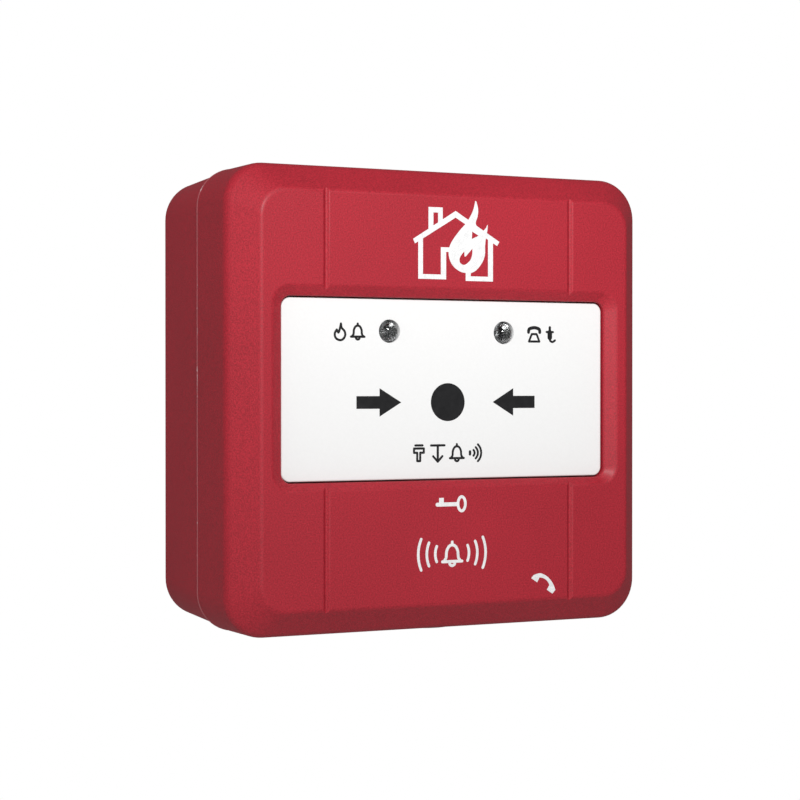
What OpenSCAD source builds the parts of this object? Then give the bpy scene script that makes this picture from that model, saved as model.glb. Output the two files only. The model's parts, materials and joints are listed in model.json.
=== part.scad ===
// Manual call point: a surface-mounted fire alarm push station in two shells.
// A back box screws to the wall and carries the cable terminals; the front
// cover clips onto it and carries the press plate, its latch and the circuit
// board. Pressing the white plate works a microswitch; a key turned in the
// bottom face pulls the latch aside so that the plate can spring back out.
//
// Millimetres. X to the right, Z up, the wall face lies in the plane y = 0 and
// the front looks along -Y. Depths are written as distances from the wall.

/* [Housing] */
// Width of the front cover
body_w = 97.6; // [95:0.2:110]
// Height of the front cover
body_h = 98; // [95:0.2:110]
// Depth from the wall to the front face
body_d = 45; // [44:0.5:52]
// Depth of the back box, from the wall to the parting line
base_d = 22.3; // [20:0.1:22.5]
// Corner radius of both shells, seen from the front
corner_r = 8.5; // [7:0.5:11]
// Thickness of the side walls
wall = 2.2; // [1.8:0.1:2.4]
// How far the cover stands proud of the back box all round
overhang = 0.3; // [0.1:0.05:0.4]
// How much narrower the back box is at the wall, each side
base_draft = 0.3; // [0:0.1:0.6]
// How much lower the back box is at the wall, top and bottom
base_draft_h = 0.7; // [0:0.1:0.9]
// How much lower the cover is at its front, top and bottom
cover_taper = 0.3; // [0:0.05:0.4]

/* [Front bevel] */
// Width of the bevel round the front face
bevel_w = 5.6; // [4:0.2:7]
// Depth of the bevel round the front face
bevel_d = 5.9; // [4:0.1:6.2]
// Softness of the bevel's outer edge
outer_soft = 1.5; // [0.4:0.1:2]
// Softness of the bevel's inner edge
inner_soft = 0.6; // [0.2:0.1:1]

/* [Window and plate] */
// Half the width of the window
window_hw = 38.3; // [37:0.1:38.4]
// Half the height of the window
window_hh = 19.2; // [18:0.1:19.4]
// Height of the window's centre above the middle of the face
window_z = 2.2; // [1:0.1:3]
// Corner radius of the window
window_r = 2.2; // [1.5:0.1:3]
// Depth of the bevel round the window
window_bevel = 1.4; // [0.8:0.1:1.8]
// Depth of the plate's face below the window's rim
plate_recess = 0.8; // [0.5:0.1:1]
// Gap between the plate and the window all round
plate_gap = 0.3; // [0.2:0.05:0.4]
// How far the plate travels when it is pressed
travel = 2.5; // [1.5:0.1:2.5]

/* [Indicators] */
// Distance of each indicator lamp from the middle
led_x = 13.6; // [12:0.1:15]
// Height of the indicator lamps
led_z = 14.4; // [13:0.1:15.5]
// Radius of an indicator lamp
led_r = 2.2; // [2:0.05:2.5]

/* [Key and socket] */
// Turn of the reset key that frees the plate
key_turn = 90; // [60:5:90]
// Radius of the cam pin's circle on the key barrel
cam_r = 2.2; // [1.8:0.1:2.4]
// Distance of the handset socket from the middle
jack_x = 22.4; // [22:0.1:24]
// Radius of the handset socket's bore
jack_r = 3.2; // [3:0.1:3.2]

/* [Wall fixing] */
// Distance between the two wall screws
fixing_pitch = 60; // [58:0.5:62]
// Radius of the slots for the wall screws
fixing_r = 2.2; // [2:0.1:2.6]
// Length of the slots between their end centres
fixing_slot = 6; // [4:0.5:8]
// Radius of the cable opening in the back
cable_r = 10; // [8:0.5:12]

/* [Hidden] */
$fn = 48;

RED = [0.71, 0.20, 0.25];
WHITE = [0.95, 0.95, 0.94];
BLACK = [0.12, 0.12, 0.13];
IVORY = [0.86, 0.83, 0.74];
STEEL = [0.70, 0.71, 0.73];
BRASS = [0.80, 0.66, 0.34];
CLEAR = [0.80, 0.82, 0.84];
GREEN = [0.10, 0.38, 0.24];

clear = 0.3;
corner_steps = 10;
bend_steps = 6;

// Shells
cover_hw = body_w / 2;
cover_hh = body_h / 2;
base_hw = cover_hw - overhang;
base_hh = cover_hh - overhang;
edge_ease = 0.25;
rim_ease = 0.2;
corner_shrink = 0.5;
floor_t = 2.4;
face_t = 2.6;
tongue_w = 1.1;
tongue_h = 3;
cover_in = cover_hw - wall;
cover_in_h = cover_hh - wall;
base_in = base_hw - wall;
base_in_h = base_hh - wall;
inner_r = corner_r - wall;
groove_x = 28.85;
groove_r = 0.9;
groove_lift = 0.4;
notch_zs = [-23.7, 28.6];
notch_l = 10.8;
notch_d = 1.2;
notch_in = 0.8;
rebate_w = 1.3;
boss_r = 2.8;
tongue_gap_x = [-9, jack_x + 9];
cable_z = 18;
knock_out_r = 7.8;
knock_out_w = 0.6;
clip_l = 8;
clip_t = 1.4;
clip_gap = 0.15;
clip_back = 17;
clip_front = base_d + 9;
clip_lip = 0.8;
clip_lip_h = 1.6;

// Window and plate
bevel_side = 2.5;
bevel_top = 2.2;
bevel_bottom = 1.5;
bevel_corner = 1.8;
rim_d = body_d - window_bevel;
face_d = rim_d - plate_recess;
collar_t = 1.7;
collar_end = 40;
plate_t = 2;
plate_in = face_d - plate_t;
skirt_t = 1.5;
flange_w = 1.3;
flange_front = collar_end - clear;
flange_back = flange_front - 1.2;
plate_hw = window_hw - plate_gap;
plate_hh = window_hh - plate_gap;
lamp_hole_r = led_r + 0.25;
guide_x = 33;
guide_dz = 14.5;
guide_r = 2;
guide_fit = 0.08;
guide_end = 32;

// Stem that the latch catches
stem_z = -13.4;
stem_hz = 2.6;
stem_hx = 1;
stem_end = 30.9;
latch_back = 32.2;
latch_front = 33.7;
slot_hz = 1.6;
slot_ends = [latch_back - clear, latch_front + travel + clear];

// Inner frame and board
frame_back = 34;
frame_front = 36;
frame_hw = 44.5;
frame_low = -25.5;
frame_high = 30.5;
screw_at = [for (x = [-41.5, 41.5]) for (z = [26.5, -21.5]) [x, z]];
pillar_at = [for (x = [-36, 36]) for (z = [25, -20]) [x, z]];
screw_r = 1.2;
board_back = 27.4;
board_front = 29;
board_hw = 40;
board_low = -29;
board_high = 30;
spring_x = 24;
spring_r = 2.6;
spring_wire = 0.3;
cup_floor = 31;
cup_r = 3.4;

// Lamps
dome_d = face_d - 0.9;
lamp_base = dome_d + led_r - 8.6;
lead_pitch = 1.27;
lead_r = 0.25;

// Microswitch
switch_x0 = -6;
switch_x1 = 6.8;
switch_z = -5;
switch_hz = 2.9;
switch_top = 35.5;
hinge_d = 35.9;
lever_rest = 13;
lever_l = 13.5;
lever_t = 0.3;
button_x = -2;
button_top = 36.15;
pusher_x = 5;
pusher_end = 38.75;
pusher_r = 1;

// Key barrel
key_d = 31;
bush_r = 5.2;
bush_lip = 1;
bush_lip_h = 0.8;
bush_top = -43.5;
barrel_r = 3.5;
barrel_head_r = 4.4;
barrel_head_h = 1.5;
clip_groove = 0.7;
barrel_top = -30.3;
fit = 0.08;
pin_r = 0.9;
pin_top = -26.6;
cam_x = cam_r * sin(key_turn / 2);
cam_d = cam_r * cos(key_turn / 2);
foot_low = -28.5;
foot_high = -27;
latch_x0 = 2;
latch_x1 = 8;
latch_tip = -1.7;
latch_spring_z = -18.5;
latch_spring_d = 32.6;
latch_coil_r = 1.1;
latch_wire = 0.2;
spring_stop = 16;

// Handset socket
jack_d = 31;
jack_boss_r = 7.6;
jack_boss_top = -44.5;
jack_box = 7;
jack_ease = 0.2;
jack_top = -30;
jack_pocket = [-41.5, -32];
sleeve_r = 4.2;
nut_r = 5.8;
contact_x = 4.6;
contact_hx = 0.3;
contact_hd = 1.6;
nut_low = -48.9;
nut_high = -47.2;

// Terminals
terminal_xs = [-16.5, -5.5, 5.5, 16.5];
block_hw = 23;
block_low = -29;
block_high = -13;
block_d = 15;
wire_screw_z = -18;
socket_z = -25.4;
blade_end = 8;

// ---------------------------------------------------------------- helpers

// Outline of a rectangle with rounded corners, centred at height cz
function round_rect(hw, hh, r, cz = 0) = [
    for (q = [0:3]) for (i = [0:corner_steps])
        let (a = 90 * (q + i / corner_steps),
             sx = (q == 0 || q == 3) ? 1 : -1,
             sz = q < 2 ? 1 : -1)
        [sx * (hw - r) + r * cos(a), cz + sz * (hh - r) + r * sin(a)]];

// Smooth turn from a to b about the corner c
function bend(a, c, b) = [
    for (i = [0:bend_steps])
        let (s = i / bend_steps)
        (1 - s) * (1 - s) * a + 2 * s * (1 - s) * c + s * s * b];

// Extrudes an outline in X and Z between two distances from the wall
module slab(from, to) {
    translate([0, -from, 0]) rotate([90, 0, 0]) linear_extrude(to - from) children();
}

// Rectangular block between limits in X, distance from the wall, and Z
module block(x0, x1, from, to, z0, z1) {
    translate([x0, -to, z0]) cube([x1 - x0, to - from, z1 - z0]);
}

// Round rod square to the wall
module rod(x, z, from, to, r) {
    translate([x, -from, z]) rotate([90, 0, 0]) cylinder(h = to - from, r = r);
}

// Round upright post
module upright(x, dist, z0, z1, r) {
    translate([x, -dist, z0]) cylinder(h = z1 - z0, r = r);
}

// Solid through rings of [distance, half width, half height, corner radius, centre height]
module loft(rings) {
    outlines = [for (k = rings) round_rect(k[1], k[2], k[3], k[4])];
    n = len(outlines[0]);
    last = len(rings) - 1;
    points = [for (i = [0:last]) for (p = outlines[i]) [p[0], -rings[i][0], p[1]]];
    sides = [for (i = [0:last - 1]) for (k = [0:n - 1])
        let (m = (k + 1) % n)
        [i * n + k, (i + 1) * n + k, (i + 1) * n + m, i * n + m]];
    back = [for (k = [0:n - 1]) k];
    front = [for (k = [n - 1:-1:0]) last * n + k];
    polyhedron(points, concat(sides, [back, front]));
}

// Open coil spring along +Z, its ends closed by the wire's own cut faces
module coil(r, wire, length, turns) {
    sides = 6;
    steps = 14;
    n = turns * steps;
    points = [for (i = [0:n]) for (k = [0:sides - 1])
        let (a = 360 * i / steps, b = 360 * k / sides, d = r + wire * cos(b))
        [d * cos(a), d * sin(a), wire + (length - 2 * wire) * i / n + wire * sin(b)]];
    around = [for (i = [0:n - 1]) for (k = [0:sides - 1])
        let (m = (k + 1) % sides)
        [i * sides + k, (i + 1) * sides + k, (i + 1) * sides + m, i * sides + m]];
    first = [for (k = [0:sides - 1]) k];
    last = [for (k = [sides - 1:-1:0]) n * sides + k];
    polyhedron(points, concat(around, [first, last]));
}

// ---------------------------------------------------------------- shells

// Rings of the cover's outside, from the parting line to the front face
function cover_profile() =
    let (a = [body_d - bevel_d, 0],
         b = [body_d, bevel_w],
         slope = (b - a) / norm(b - a))
    concat([[base_d, edge_ease], [base_d + edge_ease, 0]],
        bend(a - [outer_soft, 0], a, a + outer_soft * slope),
        bend(b - inner_soft * slope, b, b + [0, inner_soft]));

module cover_outside() {
    loft([for (p = cover_profile())
        [p[0], cover_hw - p[1], cover_hh - p[1] - cover_taper * (p[0] - base_d) / (body_d - base_d),
         corner_r - corner_shrink * p[1], 0]]);
}

module cover_hollow() {
    turn_in = 3.6;
    turn_d = body_d - bevel_d - 0.5;
    loft([[base_d - 1, cover_in, cover_in_h, inner_r, 0],
        [turn_d, cover_in, cover_in_h, inner_r, 0],
        [body_d - face_t, cover_in - turn_in, cover_in_h - turn_in, inner_r - 2, 0]]);
}

// Spring hooks that snap into the back box, one pair on each side
module cover_clips() {
    outer = base_in - clip_gap;
    for (side = [0, 1]) mirror([side, 0, 0]) for (z = notch_zs) {
        block(outer - clip_t, outer, clip_back, clip_front, z - clip_l / 2, z + clip_l / 2);
        block(outer - clip_t, cover_in + 0.2, base_d + tongue_h + 1, clip_front,
            z - clip_l / 2, z + clip_l / 2);
        block(outer - clip_t, outer + clip_lip, clip_back, clip_back + clip_lip_h,
            z - clip_l / 2, z + clip_l / 2);
    }
}

module front_cover() {
    color(RED) difference() {
        union() {
            difference() {
                cover_outside();
                cover_hollow();
            }
            slab(collar_end, body_d - face_t + 0.4)
                polygon(round_rect(window_hw + collar_t, window_hh + collar_t,
                    window_r + collar_t, window_z));
            for (p = screw_at) rod(p[0], p[1], frame_front, body_d - face_t + 0.2, boss_r);
            upright(jack_x, jack_d, -cover_in_h - 0.2, jack_boss_top, jack_boss_r);
            upright(0, key_d, -cover_in_h - 0.2, bush_top - 1, bush_r + bush_lip + 1);
            cover_clips();
        }
        // Window and the bevel that leads into it
        loft([for (p = [[collar_end - 1, 0], [rim_d, 0], [body_d, 1], [body_d + 1, 1]])
            [p[0], window_hw + p[1] * bevel_side, window_hh + p[1] * (bevel_top + bevel_bottom) / 2,
             window_r + p[1] * bevel_corner, window_z + p[1] * (bevel_top - bevel_bottom) / 2]]);
        // Four shallow grooves, above and below the window
        for (x = [-groove_x, groove_x]) upright(x, body_d + groove_lift, -cover_hh, cover_hh, groove_r);
        // Rebate for the back box's tongue
        slab(base_d - 1, base_d + tongue_h + 0.2) difference() {
            polygon(round_rect(cover_hw - rebate_w, cover_hh - rebate_w, corner_r - rebate_w));
            polygon(round_rect(cover_in - 0.05, cover_in_h - 0.05, inner_r));
        }
        for (p = screw_at) rod(p[0], p[1], frame_front - 1, frame_front + 5, screw_r);
        // Key bush
        upright(0, key_d, -cover_hh - 1, -cover_hh + bush_lip_h, bush_r + bush_lip);
        upright(0, key_d, -cover_hh, bush_top, bush_r);
        // Handset socket: a sunk seat for its ring nut, and the hole for its sleeve
        upright(jack_x, jack_d, -cover_hh - 1, nut_high, nut_r + 0.4);
        upright(jack_x, jack_d, -cover_hh, jack_boss_top + 1, sleeve_r);
    }
}

module back_box() {
    color(RED) difference() {
        union() {
            loft([[0, base_hw - base_draft - rim_ease, base_hh - base_draft_h - rim_ease, corner_r, 0],
                [2 * rim_ease, base_hw - base_draft, base_hh - base_draft_h, corner_r, 0],
                [base_d - rim_ease, base_hw, base_hh, corner_r, 0],
                [base_d, base_hw - rim_ease, base_hh - rim_ease, corner_r, 0]]);
            slab(base_d - 1, base_d + tongue_h)
                polygon(round_rect(base_in + tongue_w, base_in_h + tongue_w, inner_r + tongue_w));
        }
        slab(floor_t, base_d + tongue_h + 1) polygon(round_rect(base_in, base_in_h, inner_r));
        // Gap in the tongue, where the key bush and the handset socket pass
        block(tongue_gap_x[0], tongue_gap_x[1], base_d, base_d + tongue_h + 1, -cover_hh, -base_in_h + 1);
        // Pockets for the cover's hooks, and the notches for prising the cover off
        for (side = [0, 1]) mirror([side, 0, 0]) for (z = notch_zs) {
            block(base_in - 1, base_in + 1, clip_back - 0.6, clip_back + 2,
                z - clip_l / 2 - 1, z + clip_l / 2 + 1);
            block(base_hw - notch_in, base_hw + 1, base_d - notch_d, base_d + 0.05,
                z - notch_l / 2, z + notch_l / 2);
        }
        // Slots for the wall screws
        for (x = [-fixing_pitch / 2, fixing_pitch / 2]) {
            for (dx = [-fixing_slot / 2, fixing_slot / 2]) rod(x + dx, 0, -1, floor_t + 1, fixing_r);
            block(x - fixing_slot / 2, x + fixing_slot / 2, -1, floor_t + 1, -fixing_r, fixing_r);
        }
        // Cable opening
        rod(0, cable_z, -1, floor_t + 1, cable_r);
        // Rings that thin the top and bottom walls into knock-outs for a conduit
        for (s = [0, 1]) mirror([0, 0, s]) translate([0, -base_d / 2, base_hh - 1]) difference() {
            cylinder(h = 3, r = knock_out_r + knock_out_w);
            translate([0, 0, -1]) cylinder(h = 5, r = knock_out_r);
        }
    }
}

// ---------------------------------------------------------------- press plate

module press_plate() {
    ease = 0.35;
    color(WHITE) difference() {
        union() {
            loft([[flange_back, plate_hw, plate_hh, window_r - plate_gap, window_z],
                [face_d - ease, plate_hw, plate_hh, window_r - plate_gap, window_z],
                [face_d, plate_hw - ease, plate_hh - ease, window_r - plate_gap, window_z]]);
            slab(flange_back, flange_front)
                polygon(round_rect(plate_hw + flange_w, plate_hh + flange_w, window_r + 0.5, window_z));
        }
        slab(flange_back - 1, plate_in)
            polygon(round_rect(plate_hw - skirt_t, plate_hh - skirt_t, 0.8, window_z));
        for (x = [-led_x, led_x]) rod(x, led_z, plate_in - 1, face_d + 1, lamp_hole_r);
    }
    color(WHITE) for (x = [-guide_x, guide_x]) for (dz = [-guide_dz, guide_dz])
        rod(x, window_z + dz, guide_end, plate_in, guide_r);
    color(WHITE) for (x = [-spring_x, spring_x]) rod(x, window_z, plate_in - 1.4, plate_in, spring_r - 0.8);
    color(WHITE) difference() {
        block(-stem_hx, stem_hx, stem_end, plate_in, stem_z - stem_hz, stem_z + stem_hz);
        block(-stem_hx - 1, stem_hx + 1, slot_ends[0], slot_ends[1], stem_z - slot_hz, stem_z + slot_hz);
    }
    color(WHITE) rod(pusher_x, switch_z, pusher_end + pusher_r, plate_in, pusher_r);
    color(WHITE) translate([pusher_x, -(pusher_end + pusher_r), switch_z]) sphere(r = pusher_r);
}

module inner_frame() {
    wall_t = 1.2;
    color(BLACK) difference() {
        union() {
            slab(frame_back, frame_front) translate([0, (frame_low + frame_high) / 2])
                polygon(round_rect(frame_hw, (frame_high - frame_low) / 2, 3));
            for (p = pillar_at) rod(p[0], p[1], board_front, frame_front, 3);
            for (x = [-guide_x, guide_x]) for (dz = [-guide_dz, guide_dz])
                rod(x, window_z + dz, guide_end + 0.4, frame_front, 4);
            for (x = [-spring_x, spring_x]) rod(x, window_z, cup_floor - wall_t, frame_front, cup_r + wall_t);
            // Strap that holds the latch slide against the frame
            block(-0.8, 13.6, board_front + 1.2, latch_back - clear, -24, -21);
            block(-0.8, 1.4, latch_back - clear, frame_back, -24, -21);
            block(11.8, 13.6, latch_back - clear, frame_back, -24, -21);
            // Stop for the latch spring
            block(spring_stop, spring_stop + 2, latch_back - 1, frame_back,
                latch_spring_z - 2, latch_spring_z + 2);
        }
        for (x = [-guide_x, guide_x]) for (dz = [-guide_dz, guide_dz])
            rod(x, window_z + dz, guide_end - 1, frame_front + 1, guide_r + guide_fit);
        for (x = [-spring_x, spring_x]) rod(x, window_z, cup_floor, frame_front + 1, cup_r);
        for (x = [-led_x, led_x]) rod(x, led_z, frame_back - 1, frame_front + 1, led_r + 0.8);
        for (p = pillar_at) rod(p[0], p[1], board_front - 1, board_front + 4, screw_r);
        for (p = screw_at) rod(p[0], p[1], frame_back - 1, frame_front + 1, screw_r);
        // Windows for the stem and the microswitch
        block(-stem_hx - 0.6, stem_hx + 0.6, frame_back - 1, frame_front + 1,
            stem_z - stem_hz - 0.6, stem_z + stem_hz + 0.6);
        block(switch_x0 - 1.5, switch_x1 + 3, frame_back - 1, frame_front + 1,
            switch_z - switch_hz - 1, switch_z + switch_hz + 1);
    }
}

// Pan-head screw square to the wall, its head towards the wall
module cross_screw(x, z, seat, length, r, head_r, head_h) {
    difference() {
        union() {
            rod(x, z, seat - head_h, seat, head_r);
            rod(x, z, seat, seat + length, r);
        }
        block(x - 0.3, x + 0.3, seat - head_h - 1, seat - head_h * 0.4, z - head_r * 0.6, z + head_r * 0.6);
        block(x - head_r * 0.6, x + head_r * 0.6, seat - head_h - 1, seat - head_h * 0.4, z - 0.3, z + 0.3);
    }
}

module frame_screws() {
    color(STEEL) for (p = screw_at) cross_screw(p[0], p[1], frame_back, 6.6, screw_r, 2.3, 1.6);
}

module board_screws() {
    color(STEEL) for (p = pillar_at) cross_screw(p[0], p[1], board_back, 5.2, screw_r, 2.3, 1.6);
}

module plate_spring(x) {
    color(STEEL) translate([x, -cup_floor, window_z]) rotate([90, 0, 0])
        coil(spring_r, spring_wire, plate_in - cup_floor, 6);
}

// ---------------------------------------------------------------- latch and key

module latch_slide() {
    slot_r = pin_r + 0.15;
    color(IVORY) difference() {
        union() {
            block(latch_tip, latch_x0 + 1, latch_back, latch_front,
                stem_z - slot_hz + clear, stem_z + slot_hz - clear);
            block(latch_x0, latch_x1, latch_back, latch_front, foot_low, stem_z + slot_hz - clear);
            block(-4.5, latch_x1, key_d - 1, key_d + 5, foot_low, foot_high);
        }
        for (d = [key_d + cam_d - 0.2, key_d + cam_r + 0.2])
            upright(-cam_x, d, foot_low - 1, foot_high + 1, slot_r);
        block(-cam_x - slot_r, -cam_x + slot_r, key_d + cam_d - 0.2, key_d + cam_r + 0.2,
            foot_low - 1, foot_high + 1);
    }
}

module latch_spring() {
    color(STEEL) translate([latch_x1, -latch_spring_d, latch_spring_z]) rotate([0, 90, 0])
        coil(latch_coil_r, latch_wire, spring_stop - latch_x1, 6);
}

module key_bush() {
    color(STEEL) difference() {
        union() {
            upright(0, key_d, -cover_hh, bush_top, bush_r);
            upright(0, key_d, -cover_hh, -cover_hh + bush_lip_h, bush_r + bush_lip);
        }
        upright(0, key_d, -cover_hh - 1, bush_top + 1, barrel_r + fit);
        upright(0, key_d, -cover_hh - 1, -cover_hh + barrel_head_h + 0.5, barrel_head_r + fit);
    }
}

module key_barrel() {
    head_low = -cover_hh + 0.4;
    color(STEEL) difference() {
        union() {
            upright(0, key_d, head_low, head_low + barrel_head_h, barrel_head_r);
            upright(0, key_d, head_low + 1, barrel_top, barrel_r);
            upright(-cam_x, key_d + cam_d, barrel_top - 1, pin_top, pin_r);
        }
        // Groove for the clip, and the keyway
        difference() {
            upright(0, key_d, bush_top + 0.2, bush_top + 1, barrel_r + 1);
            upright(0, key_d, bush_top, bush_top + 1.2, barrel_r - clip_groove);
        }
        upright(0, key_d, head_low - 1, head_low + 9, 1.6);
        block(-0.7, 0.7, key_d - 0.5, key_d + 3.2, head_low - 1, head_low + 9);
    }
}

module barrel_clip() {
    color(STEEL) translate([0, -key_d, bush_top + 0.25]) difference() {
        cylinder(h = 0.7, r = bush_r - 0.3);
        translate([0, 0, -1]) cylinder(h = 3, r = barrel_r - clip_groove);
        translate([-1.6, 0, -1]) cube([3.2, 8, 3]);
    }
}

// ---------------------------------------------------------------- circuit board

module circuit_board() {
    color(GREEN) difference() {
        slab(board_back, board_front) translate([0, (board_low + board_high) / 2])
            polygon(round_rect(board_hw, (board_high - board_low) / 2, 1.5));
        for (p = pillar_at) rod(p[0], p[1], board_back - 1, board_front + 1, screw_r);
        for (x = [-led_x, led_x]) for (dx = [-lead_pitch, lead_pitch])
            rod(x + dx, led_z, board_back - 1, board_front + 1, lead_r);
        block(-3, 3, board_back - 1, board_front + 1, stem_z - 4.6, stem_z + 4.2);
    }
}

module lamp(x) {
    color(CLEAR) difference() {
        union() {
            rod(x, led_z, lamp_base, lamp_base + 1, led_r + 0.4);
            rod(x, led_z, lamp_base, dome_d, led_r);
            translate([x, -dome_d, led_z]) sphere(r = led_r);
        }
        for (dx = [-lead_pitch, lead_pitch]) rod(x + dx, led_z, lamp_base - 1, lamp_base + 4, lead_r);
    }
}

module lamp_leads() {
    color(STEEL) for (x = [-led_x, led_x]) for (dx = [-lead_pitch, lead_pitch])
        rod(x + dx, led_z, board_back - 1, lamp_base + 4, lead_r);
}

module lamp_spacers() {
    color(BLACK) for (x = [-led_x, led_x]) difference() {
        rod(x, led_z, board_front, lamp_base, led_r + 0.4);
        for (dx = [-lead_pitch, lead_pitch]) rod(x + dx, led_z, board_front - 1, lamp_base + 1, lead_r);
    }
}

module switch_case() {
    color(BLACK) difference() {
        block(switch_x0, switch_x1, board_front, switch_top, switch_z - switch_hz, switch_z + switch_hz);
        block(button_x - 1.2, button_x + 1.2, switch_top - 2.6, switch_top + 1,
            switch_z - 1.7, switch_z + 1.7);
    }
    color(BLACK) for (s = [-1, 1]) difference() {
        block(switch_x0, switch_x0 + 1.6, switch_top - 1, hinge_d + 0.7, switch_z + s * 2.45 - 0.45,
            switch_z + s * 2.45 + 0.45);
        upright(switch_x0 + 0.8, hinge_d, switch_z - 4, switch_z + 4, 0.4);
    }
}

module switch_button() {
    color(IVORY) {
        block(button_x - 1, button_x + 1, switch_top - 1.4, button_top - 0.3, switch_z - 1.4, switch_z + 1.4);
        block(button_x - 0.7, button_x + 0.7, button_top - 0.6, button_top, switch_z - 1.2, switch_z + 1.2);
    }
}

module switch_lever() {
    color(STEEL) translate([switch_x0 + 0.8, -hinge_d, switch_z]) rotate([0, 0, -lever_rest]) {
        translate([0, -lever_t / 2, -1.6]) cube([lever_l, lever_t, 3.2]);
        translate([0, 0, -2.8]) cylinder(h = 5.6, r = 0.35);
    }
}

module switch_pins() {
    color(STEEL) for (x = [switch_x0 + 1.3, 0.4, switch_x1 - 1.3])
        block(x - 0.4, x + 0.4, board_back - 2.4, board_back, switch_z - 0.25, switch_z + 0.25);
}

module controller_chip() {
    color(BLACK) block(-24, -14, board_back - 2.3, board_back - 0.1, 4, 11.5);
}

module chip_leads() {
    color(STEEL) for (i = [0:6]) for (s = [-1, 1]) {
        x = -19 + (i - 3) * 1.27;
        z = 7.75 + s * 4.4;
        block(x - 0.2, x + 0.2, board_back - 1.2, board_back - 1, z - 0.65, z + 0.65);
        block(x - 0.2, x + 0.2, board_back - 1.2, board_back, z + s * 0.65 - 0.1, z + s * 0.65 + 0.1);
    }
}

module capacitor() {
    color(BLACK) rod(22, 14, board_back - 9, board_back, 4);
}

module crystal_can() {
    color(STEEL) slab(board_back - 3.5, board_back) translate([4, 8]) polygon(round_rect(5, 2.2, 2.1));
}

module resistors() {
    color(BLACK) for (i = [0:4]) for (j = [0:1])
        block(-32 + i * 4, -30 + i * 4, board_back - 0.6, board_back, -8 + j * 3.4, -6.7 + j * 3.4);
}

module blade_header() {
    color(IVORY) difference() {
        block(-20, 20, board_back - 3.4, board_back, socket_z - 3, socket_z + 3);
        for (x = terminal_xs)
            block(x - 2, x + 2, board_back - 4, board_back + 1, socket_z - 0.4, socket_z + 0.4);
    }
}

module contact_blades() {
    color(BRASS) for (x = terminal_xs)
        block(x - 2, x + 2, blade_end, board_back, socket_z - 0.4, socket_z + 0.4);
}

// ---------------------------------------------------------------- terminals

module terminal_block() {
    color(BLACK) difference() {
        block(-block_hw, block_hw, floor_t, block_d, block_low, block_high);
        for (x = terminal_xs) {
            // Screw well, wire way and clamp chamber
            rod(x, wire_screw_z, 9.4, block_d + 1, 2.9);
            block(x - 3, x + 3, 4.4, 9.5, wire_screw_z - 3, wire_screw_z + 3);
            upright(x, 7, wire_screw_z, block_high + 1, 1.8);
            // Socket for a blade of the front half
            block(x - 2.8, x + 2.8, 6, block_d + 1, socket_z - 1.6, socket_z + 1.6);
        }
    }
}

module terminal_clamps() {
    color(BRASS) for (x = terminal_xs) difference() {
        block(x - 3, x + 3, 4.4, 9.4, wire_screw_z - 3, wire_screw_z + 3);
        block(x - 2.2, x + 2.2, 5.2, 8.4, wire_screw_z - 4, wire_screw_z + 4);
        rod(x, wire_screw_z, 8, 10, 1.5);
    }
}

module terminal_screws() {
    color(STEEL) for (x = terminal_xs) difference() {
        union() {
            rod(x, wire_screw_z, 5.8, 11.4, 1.5);
            rod(x, wire_screw_z, 11.4, 13.4, 2.7);
        }
        block(x - 0.4, x + 0.4, 12.6, 14, wire_screw_z - 2, wire_screw_z + 2);
        block(x - 2, x + 2, 12.6, 14, wire_screw_z - 0.4, wire_screw_z + 0.4);
    }
}

module socket_springs() {
    color(BRASS) for (x = terminal_xs) for (s = [0, 1]) translate([x, 0, socket_z]) mirror([0, 0, s]) {
        block(-2.4, 2.4, 6, 14, 1.1, 1.6);
        block(-2.4, 2.4, 13.5, 14, 0.4, 1.6);
    }
}

// ---------------------------------------------------------------- handset socket

module jack_body() {
    color(BLACK) difference() {
        block(jack_x - jack_box, jack_x + jack_box, jack_d - jack_box, jack_d + jack_box,
            jack_boss_top, jack_top);
        upright(jack_x, jack_d, jack_boss_top - 1, jack_top - 2, jack_r + jack_ease);
        block(jack_x - 5.5, jack_x + 5.5, jack_d - 2, jack_d + 2, jack_pocket[0], jack_pocket[1]);
        for (s = [-1, 1]) block(jack_x + s * contact_x - contact_hx, jack_x + s * contact_x + contact_hx,
            jack_d - contact_hd, jack_d + contact_hd, jack_pocket[0], jack_top + 1);
    }
}

module jack_sleeve() {
    color(STEEL) difference() {
        upright(jack_x, jack_d, -cover_hh + 0.1, jack_boss_top, sleeve_r);
        upright(jack_x, jack_d, -cover_hh - 1, jack_boss_top + 1, jack_r);
    }
}

module jack_nut() {
    color(STEEL) difference() {
        upright(jack_x, jack_d, nut_low, nut_high, nut_r);
        upright(jack_x, jack_d, nut_low - 1, nut_high + 1, sleeve_r);
        for (a = [0, 90]) translate([jack_x, -jack_d, nut_low - 1]) rotate([0, 0, a])
            translate([-nut_r - 1, -0.7, 0]) cube([2 * nut_r + 2, 1.4, 1.7]);
    }
}

module jack_contacts() {
    color(BRASS) for (s = [-1, 1]) {
        x = jack_x + s * contact_x;
        finger = x - s * 1.1;
        block(x - contact_hx, x + contact_hx, jack_d - contact_hd, jack_d + contact_hd,
            jack_pocket[0], jack_top + 2.5);
        block(min(x, finger), max(x, finger), jack_d - contact_hd, jack_d + contact_hd,
            jack_pocket[0] + 3, jack_pocket[0] + 3.6);
    }
}

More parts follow.
